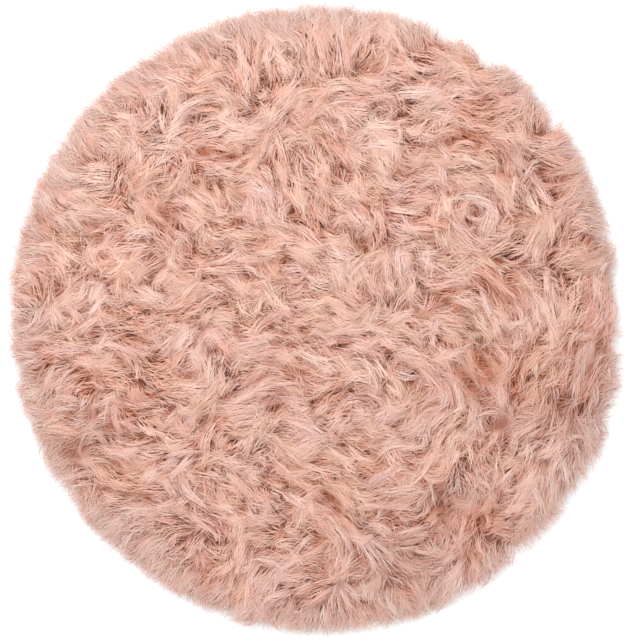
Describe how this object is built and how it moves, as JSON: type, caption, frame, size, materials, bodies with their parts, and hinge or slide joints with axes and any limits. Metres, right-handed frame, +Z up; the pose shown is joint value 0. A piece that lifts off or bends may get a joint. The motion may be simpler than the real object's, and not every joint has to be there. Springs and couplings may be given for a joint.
{
  "type": "round shag rug",
  "caption": "Round rug of long-pile faux fur lying flat, with a lumpy combed pile and soft pointed locks round its rim.",
  "frame": {"origin": "on the floor, under the middle of the rug's outer size", "axes": "+Z up from the floor, +Y towards the top of the picture"},
  "size_m": [0.9906, 1.0168, 0.0556],
  "materials": {
    "pile": "long soft pile, blush pink"
  },
  "bodies": {
    "root": {"pile": "pile"}
  },
  "joints": []
}
